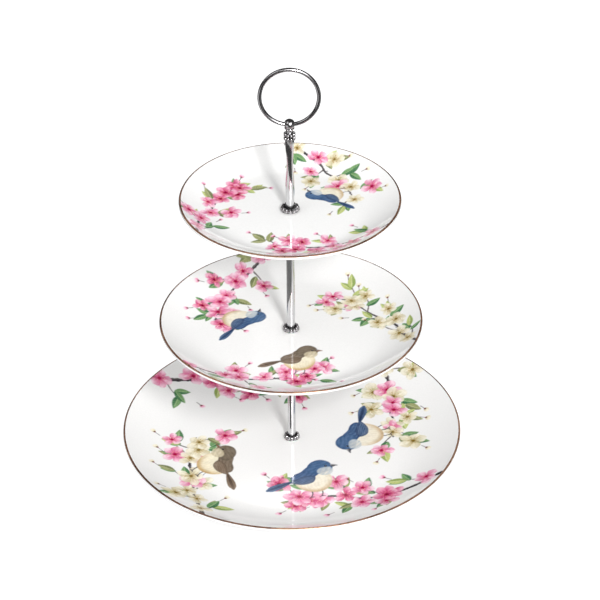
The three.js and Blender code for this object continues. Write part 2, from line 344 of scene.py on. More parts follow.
PINK = {"base": (0.76, 0.13, 0.34), "body": (0.92, 0.52, 0.68), "tip": (0.985, 0.86, 0.91),
        "vein": (0.80, 0.27, 0.47), "eye": (0.62, 0.06, 0.22), "dust": (0.98, 0.86, 0.62)}
ROSE = {"base": (0.66, 0.06, 0.25), "body": (0.88, 0.36, 0.55), "tip": (0.97, 0.74, 0.82),
        "vein": (0.70, 0.14, 0.35), "eye": (0.50, 0.03, 0.17), "dust": (0.97, 0.80, 0.55)}
CREAM = {"base": (0.66, 0.58, 0.32), "body": (0.93, 0.89, 0.76), "tip": (0.965, 0.945, 0.88),
         "vein": (0.72, 0.66, 0.48), "eye": (0.48, 0.38, 0.16), "dust": (0.66, 0.44, 0.16)}
GREEN = {"dark": (0.17, 0.37, 0.26), "light": (0.47, 0.63, 0.42), "rib": (0.70, 0.80, 0.58)}
LIME = {"dark": (0.45, 0.56, 0.28), "light": (0.76, 0.80, 0.50), "rib": (0.90, 0.91, 0.72)}
OLIVE = {"dark": (0.36, 0.40, 0.27), "light": (0.62, 0.64, 0.44), "rib": (0.80, 0.80, 0.62)}
BARK = {"dark": (0.16, 0.15, 0.17), "light": (0.44, 0.41, 0.41)}
TWIG = {"dark": (0.27, 0.25, 0.26), "light": (0.54, 0.50, 0.49)}


def blend(first, second, share):
    """Two colours mixed by an array of shares."""
    share = np.clip(share, 0, 1)[..., None]
    return np.asarray(first) * (1 - share) + np.asarray(second) * share


class Spot:
    """A place to draw at: its own origin, turn, size and stretch, mirrored where flip is -1."""

    def __init__(self, x, y, turn=0.0, size=1.0, flip=1, stretch=(1.0, 1.0)):
        self.origin = np.array([x, y], float)
        angle = math.radians(turn)
        self.cos, self.sin = math.cos(angle), math.sin(angle)
        self.size = size
        self.flip = flip
        self.scale = size * np.array([flip, 1]) * stretch

    def out(self, points):
        p = np.asarray(points, float) * self.scale
        turned_points = np.stack(
            [p[..., 0] * self.cos - p[..., 1] * self.sin, p[..., 0] * self.sin + p[..., 1] * self.cos], -1
        )
        return turned_points + self.origin

    def back(self, x, y):
        dx, dy = x - self.origin[0], y - self.origin[1]
        u = (dx * self.cos + dy * self.sin) / self.scale[0]
        return u, (-dx * self.sin + dy * self.cos) / self.scale[1]


class Canvas:
    """A round sheet of print, painted in millimetres from the plate's centre."""

    def __init__(self, radius, seed):
        self.half = radius + 3
        self.count = int(2 * self.half / PAINT_CELL)
        self.colour = np.tile(np.array(PAPER), (self.count, self.count, 1))
        self.rng = np.random.default_rng(seed)
        self.mottle = self.cloud(3.0) * 0.6 + self.cloud(0.9) * 0.4

    def cloud(self, grain):
        """Soft random blotches about grain millimetres across, from -1 to 1."""
        coarse = int(2 * self.half / grain) + 3
        knots = self.rng.uniform(-1, 1, (coarse, coarse))
        at = np.arange(self.count) * PAINT_CELL / grain
        i = at.astype(int)
        f = at - i
        f = f * f * (3 - 2 * f)
        rows = knots[i] * (1 - f)[:, None] + knots[i + 1] * f[:, None]
        return rows[:, i] * (1 - f) + rows[:, i + 1] * f

    def window(self, low, high):
        """The part of the sheet between two corners, as slices and coordinates."""
        a = np.clip(((np.asarray(low) + self.half) / PAINT_CELL).astype(int), 0, self.count)
        b = np.clip(((np.asarray(high) + self.half) / PAINT_CELL).astype(int) + 1, 0, self.count)
        part = (slice(a[1], b[1]), slice(a[0], b[0]))
        x = (np.arange(a[0], b[0]) + 0.5) * PAINT_CELL - self.half
        y = (np.arange(a[1], b[1]) + 0.5) * PAINT_CELL - self.half
        return part, *np.meshgrid(x, y)

    def lay(self, part, cover, colour):
        """Paints over a window of the sheet, with the mottling of a thin wash."""
        cover = np.clip(cover, 0, 1)[..., None]
        paint = colour + (self.mottle[part] * WASH)[..., None]
        self.colour[part] = self.colour[part] * (1 - cover) + paint * cover

    def blade(self, spot, length, width, shade, peak=0.55, blunt=0.6, bend=0.0, soft=0.35,
              strength=1.0, ragged=0.0):
        """A petal, leaf or feather: widest at peak along its length and closed at both ends."""
        reach = (length + width) * spot.size
        part, x, y = self.window(spot.origin - reach, spot.origin + reach)
        if not x.size:
            return
        u, v = spot.back(x, y)
        along = u / length
        v = v - bend * length * along * along
        inside = np.clip(along, 0, 1)
        half = 0.5 * width * np.sin(math.pi * inside ** (math.log(0.5) / math.log(peak))) ** blunt
        depth = np.minimum(half - np.abs(v), 2.5 * length * np.minimum(along, 1 - along))
        depth = depth + ragged * self.mottle[part] * inside
        cover = np.clip(depth * spot.size / soft + 0.5, 0, 1) * strength
        across = v / np.maximum(half, 0.05)
        self.lay(part, cover, shade(inside, np.clip(across, -1, 1)))

    def fill(self, spot, outline, shade, soft=0.4, strength=1.0):
        """A smooth closed outline; shade takes the spot's own coordinates and the depth inside."""
        loop = spot.out(spline(outline, 7, closed=True))
        part, x, y = self.window(loop.min(0) - 1, loop.max(0) + 1)
        if not x.size:
            return
        nearest = np.full(x.shape, 1e9)
        crossings = np.zeros(x.shape, bool)
        for (ax, ay), (bx, by) in zip(loop, np.roll(loop, -1, 0)):
            dx, dy = bx - ax, by - ay
            t = np.clip(((x - ax) * dx + (y - ay) * dy) / max(dx * dx + dy * dy, 1e-9), 0, 1)
            nearest = np.minimum(nearest, (x - ax - t * dx) ** 2 + (y - ay - t * dy) ** 2)
            if ay != by:
                crossings ^= ((ay > y) != (by > y)) & (x < ax + (y - ay) * dx / dy)
        depth = np.sqrt(nearest) * np.where(crossings, 1, -1)
        u, v = spot.back(x, y)
        self.lay(part, np.clip(depth / soft + 0.5, 0, 1) * strength, shade(u, v, depth))

    def stroke(self, points, start, end, tones, rough=0.25, soft=0.35, strength=1.0):
        """A brush line that tapers from start to end width, darker along its lower side."""
        line = spline(points, 10)
        steps = np.hypot(*np.diff(line, axis=0).T)
        reach = np.concatenate([[0], np.cumsum(steps)])
        at = np.arange(0, reach[-1], 0.22)
        px, py = np.interp(at, reach, line[:, 0]), np.interp(at, reach, line[:, 1])
        share = at / reach[-1]
        wobble = np.interp(at, np.arange(0, reach[-1] + 2, 1.4),
                           self.rng.uniform(-1, 1, len(np.arange(0, reach[-1] + 2, 1.4))))
        widths = (start + (end - start) * share) * (1 + rough * wobble) / 2
        tx, ty = np.gradient(px), np.gradient(py)
        size = np.maximum(np.hypot(tx, ty), 1e-9)
        nx, ny = -ty / size, tx / size
        down = np.where(ny < 0, -1, 1)
        margin = widths.max() + 1
        part, x, y = self.window((px.min() - margin, py.min() - margin),
                                 (px.max() + margin, py.max() + margin))
        if not x.size:
            return
        cover = np.zeros(x.shape)
        lit = np.zeros(x.shape)
        x0, y0 = x[0, 0], y[0, 0]
        for cx, cy, w, ax, ay in zip(px, py, widths, nx * down, ny * down):
            far = w + soft
            i0, i1 = max(int((cy - far - y0) / PAINT_CELL), 0), int((cy + far - y0) / PAINT_CELL) + 2
            j0, j1 = max(int((cx - far - x0) / PAINT_CELL), 0), int((cx + far - x0) / PAINT_CELL) + 2
            xx, yy = x[i0:i1, j0:j1] - cx, y[i0:i1, j0:j1] - cy
            here = np.clip((w - np.hypot(xx, yy)) / soft + 0.5, 0, 1)
            better = here > cover[i0:i1, j0:j1]
            cover[i0:i1, j0:j1] = np.where(better, here, cover[i0:i1, j0:j1])
            side = (xx * ax + yy * ay) / max(w, 0.1)
            lit[i0:i1, j0:j1] = np.where(better, side, lit[i0:i1, j0:j1])
        share = 0.5 + 0.5 * lit + 0.35 * self.mottle[part]
        self.lay(part, cover * strength, blend(tones["dark"], tones["light"], share))

    def dot(self, x, y, radius, colour, strength=1.0):
        part, px, py = self.window((x - radius - 1, y - radius - 1), (x + radius + 1, y + radius + 1))
        cover = np.clip((radius - np.hypot(px - x, py - y)) / 0.35 + 0.5, 0, 1)
        self.lay(part, cover * strength, np.asarray(colour))

    def sample(self, x, y):
        """Linear colours at points, averaged over a cell's width."""
        i = np.clip((y + self.half) / PAINT_CELL - 0.5, 0, self.count - 2)
        j = np.clip((x + self.half) / PAINT_CELL - 0.5, 0, self.count - 2)
        i0, j0 = i.astype(int), j.astype(int)
        fi, fj = (i - i0)[..., None], (j - j0)[..., None]
        c = np.clip(self.colour, 0, 1)
        srgb = (c[i0, j0] * (1 - fi) + c[i0 + 1, j0] * fi) * (1 - fj)
        srgb = srgb + (c[i0, j0 + 1] * (1 - fi) + c[i0 + 1, j0 + 1] * fi) * fj
        return np.where(srgb <= 0.04045, srgb / 12.92, ((srgb + 0.055) / 1.055) ** 2.4)


# ---- Print: flowers, leaves and branches --------------------------------------------------

def petal(canvas, spot, length, width, tones, bend=0.0, shadow=0.0):
    """A soft petal: deep at its base, veined, pale at its uneven tip, shaded along one side."""
    phase = canvas.rng.uniform(0, 6.28)

    def shade(along, across):
        veins = 0.5 + 0.5 * np.cos(across * 10 + phase + 2 * along)
        colour = blend(tones["base"], tones["body"], along * 3.6)
        colour = blend(colour, tones["tip"], (along - 0.26) * 1.9 + 0.35 * across * math.cos(phase))
        colour = blend(colour, tones["vein"], np.clip(0.72 - along, 0, 1) * veins * 1.25)
        colour = blend(colour, tones["vein"], shadow * np.clip(0.5 + across, 0, 1) * 0.5)
        return blend(colour, tones["vein"], (np.abs(across) > 0.84) * (0.42 - 0.3 * along))

    canvas.blade(spot, length, width, shade, peak=0.62, blunt=0.66, bend=bend, soft=0.5,
                 strength=0.93, ragged=1.1)


def blossom(canvas, x, y, size, tones, turn=0.0, tilt=0.8):
    """Five uneven petals round a centre of fine stamens, seen a little from one side."""
    rng = canvas.rng
    axis = rng.uniform(0, 180)
    for k in rng.permutation(5):
        angle = turn + 72 * k + rng.uniform(-12, 12)
        lean = math.cos(math.radians(angle - axis)) ** 2
        length = size * (tilt + (1 - tilt) * lean) * rng.uniform(0.9, 1.14)
        width = size * rng.uniform(0.66, 0.9) * (0.5 + 0.5 * tilt)
        spot = Spot(x, y, angle)
        petal(canvas, spot, length, width, tones, rng.uniform(-0.16, 0.16), rng.uniform(0, 1))
        if rng.uniform() < 0.55:
            fold = Spot(x, y, angle + rng.uniform(-14, 14))
            petal(canvas, fold, length * 0.66, width * 0.5, tones, rng.uniform(-0.2, 0.2), 1.0)
    for k in range(11):
        angle = math.radians(turn + 33 * k + rng.uniform(-10, 10))
        reach = size * rng.uniform(0.2, 0.42)
        tip = (x + reach * math.cos(angle), y + reach * math.sin(angle))
        canvas.stroke([(x, y), tip], 0.4, 0.22, {"dark": tones["eye"], "light": tones["vein"]},
                      strength=0.8)
        canvas.dot(*tip, 0.34, tones["dust"], 0.85)
    canvas.dot(x, y, size * 0.13, tones["eye"], 0.85)


def bud(canvas, x, y, size, tones, turn):
    """A closed bud in its calyx, on a short stalk."""
    angle = math.radians(turn)
    stalk = (x - 0.9 * size * math.cos(angle), y - 0.9 * size * math.sin(angle))
    canvas.stroke([stalk, (x, y)], 0.5, 0.5, TWIG)
    for offset in (-14, 14, 0):
        petal(canvas, Spot(x, y, turn + offset), size, size * 0.62, tones)
    canvas.blade(Spot(x, y, turn), size * 0.42, size * 0.4,
                 lambda along, across: blend(ROSE["eye"], OLIVE["dark"], along))


def leaf(canvas, x, y, length, turn, tones, width):
    """A pointed leaf: one half darker than the other, with a pale rib and side veins."""

    def shade(along, across):
        half = 0.5 + 0.5 * np.tanh(4 * across)
        colour = blend(tones["dark"], tones["light"], 0.25 + 0.6 * half + 0.25 * along)
        veins = np.abs(np.sin((along * 7 - np.abs(across) * 0.9) * math.pi)) < 0.22
        colour = blend(colour, tones["rib"], veins * 0.35)
        return blend(colour, tones["rib"], (np.abs(across) < 0.11) * 0.75)

    canvas.blade(Spot(x, y, turn), length, length * width, shade, peak=0.42, blunt=0.85)


def branch(canvas, points, start, end):
    """A woody branch with knots and a few short spurs."""
    canvas.stroke(points, 1.25 * start, 1.25 * end, BARK, rough=0.35)
    line = spline(points, 10)
    rng = canvas.rng
    for k in range(6, len(line) - 6, 11):
        heading = math.atan2(*(line[k + 1] - line[k])[::-1])
        turn = heading + rng.choice([-1, 1]) * rng.uniform(0.5, 1.0)
        size = rng.uniform(1.2, 3.0)
        tip = line[k] + size * np.array([math.cos(turn), math.sin(turn)])
        canvas.stroke([line[k], tip], start * 0.55, 0.4, BARK)


# ---- Print: songbirds ---------------------------------------------------------------------

BLUE_BIRD = {
    "crown": (0.35, 0.47, 0.62), "crown_edge": (0.20, 0.30, 0.45), "cheek": (0.62, 0.69, 0.76),
    "breast": (0.93, 0.91, 0.86), "back": (0.17, 0.25, 0.40), "back_light": (0.34, 0.45, 0.60),
    "wing": (0.12, 0.17, 0.29), "wing_light": (0.40, 0.50, 0.63), "tail": (0.13, 0.19, 0.31),
    "tail_light": (0.36, 0.46, 0.60), "belly": (0.955, 0.93, 0.86), "belly_edge": (0.80, 0.70, 0.56),
    "beak": (0.30, 0.30, 0.32),
}
BROWN_BIRD = {
    "crown": (0.52, 0.47, 0.40), "crown_edge": (0.37, 0.33, 0.29), "cheek": (0.72, 0.66, 0.54),
    "breast": (0.92, 0.88, 0.77), "back": (0.36, 0.31, 0.27), "back_light": (0.57, 0.51, 0.44),
    "wing": (0.31, 0.26, 0.22), "wing_light": (0.60, 0.52, 0.44), "tail": (0.29, 0.24, 0.21),
    "tail_light": (0.58, 0.50, 0.42), "belly": (0.955, 0.925, 0.83), "belly_edge": (0.79, 0.67, 0.47),
    "beak": (0.50, 0.36, 0.26),
}
UPRIGHT = (0.87, 1.1)           # how a songbird's outline is narrowed and heightened
TAIL_LENGTH = 27.0
PERCH_HEIGHT = 23.5             # from a bird's feet to the middle of its breast
BELLY = [(-16.5, 4), (-16.5, -4), (-11, -11.5), (-1, -15.5), (9, -14), (16, -8), (18.5, 0),
         (15, 8), (4, 11), (-8, 9)]
BACK = [(-19, 3), (-15, 8), (-7, 10.5), (1, 15), (9, 15), (10, 7), (3, 2), (-4, -2), (-12, -2.5)]
WING = [(-21, 0.5), (-12, 3.5), (-4, 5), (4, 3), (0, -3.5), (-11, -4.5)]
CROWN = [(-1, 9), (1, 15.5), (7, 20), (15, 21), (21.5, 17.5), (23.5, 12.5), (22, 8), (15, 6), (6, 5)]
CHEEK = [(8, 9.0), (13, 11.6), (21, 11), (22.5, 6.5), (18, 2.5), (11, 3), (8, 5.5)]
BEAK = [(22.6, 14), (26.5, 12.6), (29, 11.2), (26.5, 11.0), (22.8, 10.6)]
EYE = (17.8, 12.8)
EYE_LIGHT = (18.1, 13.2)
LEGS = (((-5, -12), (-7.5, -20)), ((4, -13), (2.5, -20.5)))


def feathered(dark, light, slant, fineness):
    """A shade of fine strokes that run at a slant through the spot's own coordinates."""
    c, s = math.cos(math.radians(slant)), math.sin(math.radians(slant))

    def shade(u, v, depth):
        run = u * c + v * s
        cross = -u * s + v * c
        ripple = np.sin(cross * fineness + 1.6 * np.sin(run * 0.23 + cross * 0.3))
        streak = ripple * (0.6 + 0.4 * np.sin(run * 0.7 + 2.0 * np.sin(cross * 1.3)))
        return blend(dark, light, 0.34 + 0.24 * streak + 0.14 * np.clip(depth, 0, 2.5))

    return shade


def tail(canvas, spot, heading, length, tones):
    """A short tail of a few narrow feathers, dark with light edges."""
    root = spot.out((-15.5, 1.5))
    for offset, share in ((-3.4, 0.9), (3.2, 0.92), (0, 1.0)):

        def shade(along, across):
            edge = np.abs(across) > 0.5
            return blend(tones["tail"], tones["tail_light"], 0.1 + 0.5 * along * along + 0.4 * edge)

        canvas.blade(Spot(*root, heading + offset), length * share, 5.0 * spot.size, shade,
                     peak=0.7, blunt=0.45)


def bird(canvas, x, y, tones, size=1.0, flip=1, turn=0.0):
    """A plain small songbird with its breast at x, y, facing right (flip 1) or left (-1)."""
    spot = Spot(x, y, turn, size, flip, UPRIGHT)
    for hip, foot in LEGS:
        knee = (hip[0] * 0.5 + foot[0] * 0.5 + 1, -16.5)
        canvas.stroke([spot.out(hip), spot.out(knee), spot.out(foot)], 1.0 * size, 0.8 * size, BARK)
        for toe in (-2.6, 0.2, 2.8):
            canvas.stroke([spot.out(foot), spot.out((foot[0] + toe, foot[1] - 1.2))],
                          0.8 * size, 0.5 * size, BARK)
    tail(canvas, spot, turn + (195 if flip > 0 else -15), TAIL_LENGTH * size, tones)

    def belly_shade(u, v, depth):
        low = np.clip((-v - 1) / 13, 0, 1)
        rim = np.clip(1 - depth / (5.0 * size), 0, 1)
        soft = 0.06 * np.sin(u * 1.9 + 1.4 * np.sin(v * 0.6))
        return blend(tones["belly"], tones["belly_edge"], 0.2 * low + 0.9 * rim * (0.3 + low) + soft)

    canvas.fill(spot, BELLY, belly_shade, soft=0.7)
    for outline, dark, light, slant, fineness, soft, strength in (
        (BACK, "back", "back_light", 25, 2.3, 0.6, 1.0),
        (WING, "wing", "wing_light", 14, 3.8, 0.5, 0.9),
        (CROWN, "crown_edge", "crown", 10, 1.9, 0.6, 1.0),
        (CHEEK, "cheek", "breast", 40, 2.0, 0.9, 0.85),
    ):
        shade = feathered(tones[dark], tones[light], slant, fineness)
        canvas.fill(spot, outline, shade, soft, strength)
    canvas.dot(*spot.out(EYE), 0.95 * size, (0.04, 0.04, 0.06))
    canvas.dot(*spot.out(EYE_LIGHT), 0.3 * size, (0.9, 0.9, 0.92), 0.9)

    def beak_shade(u, v, depth):
        return blend(tones["beak"], (0.60, 0.60, 0.62), (v - 11.6) * 0.6)

    canvas.fill(spot, BEAK, beak_shade, soft=0.35)


# ---- Print: the three plates --------------------------------------------------------------

def polar(radius, degrees):
    angle = math.radians(degrees)
    return np.array([radius * math.cos(angle), radius * math.sin(angle)])


LEAF_TONES = (GREEN, GREEN, LIME, OLIVE)


def flowering_branch(c, radius, bearing, sweep, tones, depth, twigs, size, perched=None):
    """A branch that comes in over the rim and bends round the well, in leaf and in flower.

    perched is a songbird's colours, its share of the way along, its size and its flip.
    """
    rng = c.rng
    shares = np.linspace(0, 1, 8)
    radii = radius * (1.0 - depth * np.sin(shares * math.pi / 2) ** 0.8)
    knots = [polar(r, bearing + sweep * s) + rng.normal(0, radius * 0.012, 2)
             for r, s in zip(radii, shares)]
    branch(c, knots, radius * 0.021, radius * 0.009)
    line = spline(knots, 10)
    tips = []
    for k in range(twigs):
        at = int((0.08 + 0.9 * k / (twigs - 1)) * (len(line) - 2))
        root = line[at]
        heading = math.degrees(math.atan2(*(line[at + 1] - root)[::-1]))
        side = 1 if k % 2 else -1
        turn = heading + side * rng.uniform(28, 62)
        reach = size * rng.uniform(1.1, 2.3)
        tip = root + polar(reach, turn)
        middle = root + polar(reach * 0.55, turn + side * 9)
        c.stroke([root, middle, tip], 1.2, 0.6, TWIG)
        for lean in (-48, 40, 8):
            stalk = root + (tip - root) * rng.uniform(0.35, 1.0)
            leaf(c, *stalk, size * rng.uniform(1.15, 1.6), turn + lean + rng.uniform(-15, 15),
                 LEAF_TONES[rng.integers(len(LEAF_TONES))], rng.uniform(0.36, 0.5))
        tips.append((root, tip, turn))
    for k, (root, tip, turn) in enumerate(tips):
        near = root + (tip - root) * 0.1 + rng.normal(0, size * 0.4, 2)
        places = (tip, near) if k % 3 else (near,)
        for place in places:
            blossom(c, *place, size * rng.uniform(0.8, 1.1), tones[rng.integers(len(tones))],
                    rng.uniform(0, 72), 0.82)
        bud(c, *(tip + polar(size * 1.3, turn + rng.uniform(-30, 30))), size * 0.45, tones[0], turn)
    if perched:
        colours, share, bird_size, flip = perched
        foot = line[int(share * (len(line) - 1))]
        inward = math.degrees(math.atan2(-foot[1], -foot[0]))
        bird(c, *(foot + polar(PERCH_HEIGHT * bird_size, inward)), colours, bird_size, flip, inward - 90)


PINKS = (PINK, PINK, ROSE)
CREAMS = (CREAM, CREAM, PINK)
BRANCHES = {
    # bearing of the root and sweep in degrees, blossoms, depth as a share of the radius, twigs,
    # blossom size in mm, and the bird that perches there
    "bottom_plate": (
        (150.0, -60.0, PINKS, 0.42, 9, 11.0, None),
        (60.0, -60.0, CREAMS, 0.42, 9, 11.0, (BLUE_BIRD, 0.92, 0.95, -1)),
        (-30.0, -60.0, PINKS, 0.42, 9, 11.0, (BLUE_BIRD, 0.76, 0.95, 1)),
        (-120.0, -60.0, CREAMS, 0.42, 9, 11.0, (BROWN_BIRD, 0.50, 0.90, -1)),
    ),
    "middle_plate": (
        (218.0, 70.0, PINKS, 0.42, 8, 9.5, (BROWN_BIRD, 0.85, 0.78, 1)),
        (-20.0, 70.0, CREAMS, 0.42, 8, 9.5, None),
        (98.0, 70.0, PINKS, 0.42, 8, 9.5, (BLUE_BIRD, 0.88, 0.78, -1)),
    ),
    "top_plate": (
        (-28.0, -74.0, PINKS, 0.40, 7, 8.5, None),
        (92.0, -74.0, CREAMS, 0.40, 7, 8.5, (BLUE_BIRD, 0.78, 0.66, 1)),
        (212.0, -74.0, PINKS, 0.40, 7, 8.5, None),
    ),
}


def paint_plate(name, radius):
    canvas = Canvas(radius, seed=len(name) * 100 + int(radius))
    for bearing, sweep, tones, depth, twigs, size, perched in BRANCHES[name]:
        flowering_branch(canvas, radius, bearing, sweep, tones, depth, twigs, size, perched)
    return canvas


# ---- Plates -------------------------------------------------------------------------------

LIP_RADIUS = 1.4
WALL_POWER = 1.7
WALL_EASE = 0.14                # how softly, and from how far inside, the wall leaves the well
WALL_LEAD = 0.3
HOLE_RADIUS = 3.5
FOOT_WIDTH = 4.6
PLATE_SEGMENTS = 240
PRINT_LIFT = 0.05
PRINT_SPACING = 0.55
PRINT_START = HOLE_RADIUS + 0.6 # the print's inner edge
PRINT_CORE = 5                  # rings of the print's grid that fall inside that edge
RIM_LINE = (38.0, 104.0)        # the stretch of the lip, in degrees, that the lustre line covers
RIM_LINE_LIFT = 0.07


class Plate:
    """One plate's section, from its CAD box and the few sizes the box doesn't give."""

    def __init__(self, name, body, wall_width, thickness, foot_radius, foot_height):
        low, high = (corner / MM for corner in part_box(name))
        self.name = name
        self.body = body
        self.thickness = thickness
        self.foot_radius = foot_radius
        self.tread = low.z
        self.rim_radius = high.x
        self.rim_height = high.z
        self.underside = low.z + foot_height
        self.well_height = self.underside + thickness
        self.well_radius = self.rim_radius - wall_width
        self.end_radius = self.rim_radius - LIP_RADIUS
        self.lip_height = self.rim_height - LIP_RADIUS

    def wall(self, u, side, lift=0.0):
        """A point on the wall's upper (side 1) or lower (side -1) face; u is 0 at the well.

        The curve eases out of the level well, from a little inside its edge.
        """
        middle = self.well_height - self.thickness / 2
        climb = self.lip_height - middle
        width = self.end_radius - self.well_radius
        root = math.sqrt(u * u + WALL_EASE**2)
        spare = (math.sqrt(1 + WALL_EASE**2) - 1) / 2
        eased = (u + root) / 2 - spare * max(u, 0.0)
        slope = (1 + u / root) / 2 - spare * (u > 0)
        lean = math.atan(WALL_POWER * climb * eased ** (WALL_POWER - 1) * slope / width)
        half = self.thickness / 2 + (LIP_RADIUS - self.thickness / 2) * max(u, 0.0) + lift
        r = self.well_radius + width * u - side * half * math.sin(lean)
        return r, middle + climb * eased**WALL_POWER + side * half * math.cos(lean), lean

    def walls(self, side, lift=0.0, steps=36):
        return [self.wall(u, side, lift)[:2] for u in np.linspace(-WALL_LEAD, 1.0, steps + 1)]

    def lip(self, start, end, steps, lift=0.0):
        return arc(self.end_radius, self.lip_height, LIP_RADIUS + lift, start, end, steps)

    def lean_degrees(self):
        return math.degrees(self.wall(1.0, 1)[2])

    def outline(self):
        """The closed section, from the hole along the underside, round the lip and back."""
        inner = self.foot_radius - FOOT_WIDTH
        outer = self.foot_radius
        turn = self.lean_degrees()
        eased = 0.4
        return [
            (HOLE_RADIUS, self.underside + eased),
            (HOLE_RADIUS + eased * 0.3, self.underside + eased * 0.3),
            (HOLE_RADIUS + eased, self.underside),
            (inner - 1.2, self.underside),
            (inner - 0.3, self.underside - 0.35),
            (inner + 0.4, self.tread + 1.0),
            *arc(inner + 1.5, self.tread + 0.8, 0.8, 200, 270, 4),
            *arc(outer - 1.5, self.tread + 0.8, 0.8, 270, 340, 4),
            (outer - 0.3, self.underside - 0.5),
            (outer + 0.4, self.underside - 0.05),
            *[p for p in self.walls(-1)[:-1] if p[0] > outer + 1.0],
            *self.lip(turn - 90, 0, 8),
            *self.lip(0, 90, 8)[1:],
            *self.lip(90, turn + 90, 4)[1:],
            *self.walls(1)[:-1][::-1],
            (HOLE_RADIUS + eased, self.well_height),
            (HOLE_RADIUS + eased * 0.3, self.well_height - eased * 0.3),
            (HOLE_RADIUS, self.well_height - eased),
        ]

    def top_profile(self):
        """The printed face, from the hole over the well and wall to where the rim line starts."""
        over_lip = self.lip(self.lean_degrees() + 90, RIM_LINE[1] - 2, 10, PRINT_LIFT)
        start = (PRINT_START, self.well_height + PRINT_LIFT)
        return np.array([start, *self.walls(1, PRINT_LIFT, 60)[:-1], *over_lip])

    def print_radius(self):
        """How far the printed face reaches, measured along its own surface."""
        steps = np.diff(self.top_profile(), axis=0)
        return PRINT_START + np.hypot(steps[:, 0], steps[:, 1]).sum()


def plate_body(plate):
    vertices, faces = turned(plate.outline(), PLATE_SEGMENTS, closed=True)
    ob = piece(
        plate.name + "_glazed", vertices, faces, porcelain, plate.body, "porcelain",
        (plate.name,), 50.0,
    )
    ob.data.materials.append(bisque)
    for polygon in ob.data.polygons:
        if polygon.center.z < (plate.tread + 0.45) * MM:
            polygon.material_index = 1
    return ob


def rim_line(plate):
    """A thin lustre band over the lip, uneven along both edges as a hand-drawn line is."""
    rng = np.random.default_rng(int(plate.rim_radius * 10))
    segments = 480
    steps = 8
    angles = np.linspace(0, 2 * math.pi, segments, endpoint=False)
    edges = []
    for waves in (range(3, 9), range(4, 11)):
        drift = sum(rng.normal(0, 1.1) * np.sin(k * angles + rng.uniform(0, 6.28)) for k in waves)
        edges.append(drift)
    vertices = []
    for j in range(steps + 1):
        share = j / steps
        bulge = math.sin(math.pi * share)
        turn = np.radians(
            RIM_LINE[0] + edges[0] * (1 - share) + (RIM_LINE[1] - RIM_LINE[0]) * share + edges[1] * share
        )
        radius = LIP_RADIUS + 0.015 + RIM_LINE_LIFT * min(1.0, 3 * bulge)
        r = plate.end_radius + radius * np.cos(turn)
        z = plate.lip_height + radius * np.sin(turn)
        r = np.minimum(r, plate.rim_radius)
        z = np.minimum(z, plate.rim_height)
        vertices.append(np.column_stack([r * np.cos(angles), r * np.sin(angles), z]))
    piece(plate.name + "_rim_line", np.concatenate(vertices), bands(steps, segments), lustre,
          plate.body, "rim_lustre")


def printed_face(plate, canvas):
    """The print as a fine skin: a square grid bent into circles, with painted vertex colours."""
    profile = plate.top_profile()
    steps = np.diff(profile, axis=0)
    along = PRINT_START + np.concatenate([[0], np.cumsum(np.hypot(steps[:, 0], steps[:, 1]))])
    rings = PRINT_CORE + int((along[-1] - along[0]) / PRINT_SPACING)
    index = np.arange(-rings, rings + 1)
    a, b = np.meshgrid(index, index, indexing="xy")
    ring = np.maximum(np.abs(a), np.abs(b))
    safe = np.maximum(ring, 1)
    sideways = np.abs(a) >= np.abs(b)
    angle = np.where(
        sideways,
        np.pi / 4 * b / np.where(sideways & (a != 0), a, 1) + np.where(a < 0, np.pi, 0),
        np.pi / 2 - np.pi / 4 * a / np.where(b != 0, b, 1) + np.where(b < 0, np.pi, 0),
    )
    reach = along[0] + (along[-1] - along[0]) * (safe - PRINT_CORE) / (rings - PRINT_CORE)
    r = np.interp(reach, along, profile[:, 0])
    z = np.interp(reach, along, profile[:, 1])
    colours = canvas.sample(reach * np.cos(angle), reach * np.sin(angle))
    used = ring >= PRINT_CORE
    number = np.full(used.shape, -1)
    number[used] = np.arange(used.sum())
    quads = np.stack(
        [number[:-1, :-1], number[:-1, 1:], number[1:, 1:], number[1:, :-1]], axis=-1
    ).reshape(-1, 4)
    quads = quads[(quads >= 0).all(axis=1)]
    points = np.stack([r * np.cos(angle), r * np.sin(angle), z], axis=-1)[used] * MM
    mesh = bpy.data.meshes.new(plate.name + "_print")
    mesh.vertices.add(len(points))
    mesh.vertices.foreach_set("co", points.ravel())
    mesh.loops.add(quads.size)
    mesh.loops.foreach_set("vertex_index", quads.ravel())
    mesh.polygons.add(len(quads))
    mesh.polygons.foreach_set("loop_start", np.arange(0, quads.size, 4))
    mesh.update(calc_edges=True)
    mesh.shade_smooth()
    layer = mesh.color_attributes.new("print", "FLOAT_COLOR", "POINT")
    rgba = np.ones((len(points), 4), np.float32)
    rgba[:, :3] = colours[used]
    layer.data.foreach_set("color", rgba.ravel())
    mesh.materials.append(print_enamel)
    ob = placed(plate.name + "_print", mesh)
    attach(ob, plate.body)


plates = [
    Plate("bottom_plate", "base", 42.0, 3.8, 77.0, 6.2),
    Plate("middle_plate", "lower_rod", 34.0, 3.7, 56.0, 3.2),
    Plate("top_plate", "middle_rod", 30.0, 3.6, 44.0, 3.0),
]
for plate in plates:
    plate_body(plate)
    rim_line(plate)
    printed_face(plate, paint_plate(plate.name, plate.print_radius()))


# ---- Spine --------------------------------------------------------------------------------

BODIES = frame["record"]["behaviour"]["bodies"]
BODY_OF = {node: body for body, nodes in BODIES.items() for node in nodes}
ROUND = 96                      # segments round a turned piece
THREAD_PITCH = 0.7
THREAD_RADIUS = 2.0
THREAD_DEPTH = 0.38
THREADED_BORE = 2.2
PIN_RADIUS = 1.2
PIN_BORE = 1.45


def box_mm(node):
    """A CAD node's bottom, top and outer radius."""
    low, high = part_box(node)
    return low.z / MM, high.z / MM, high.x / MM


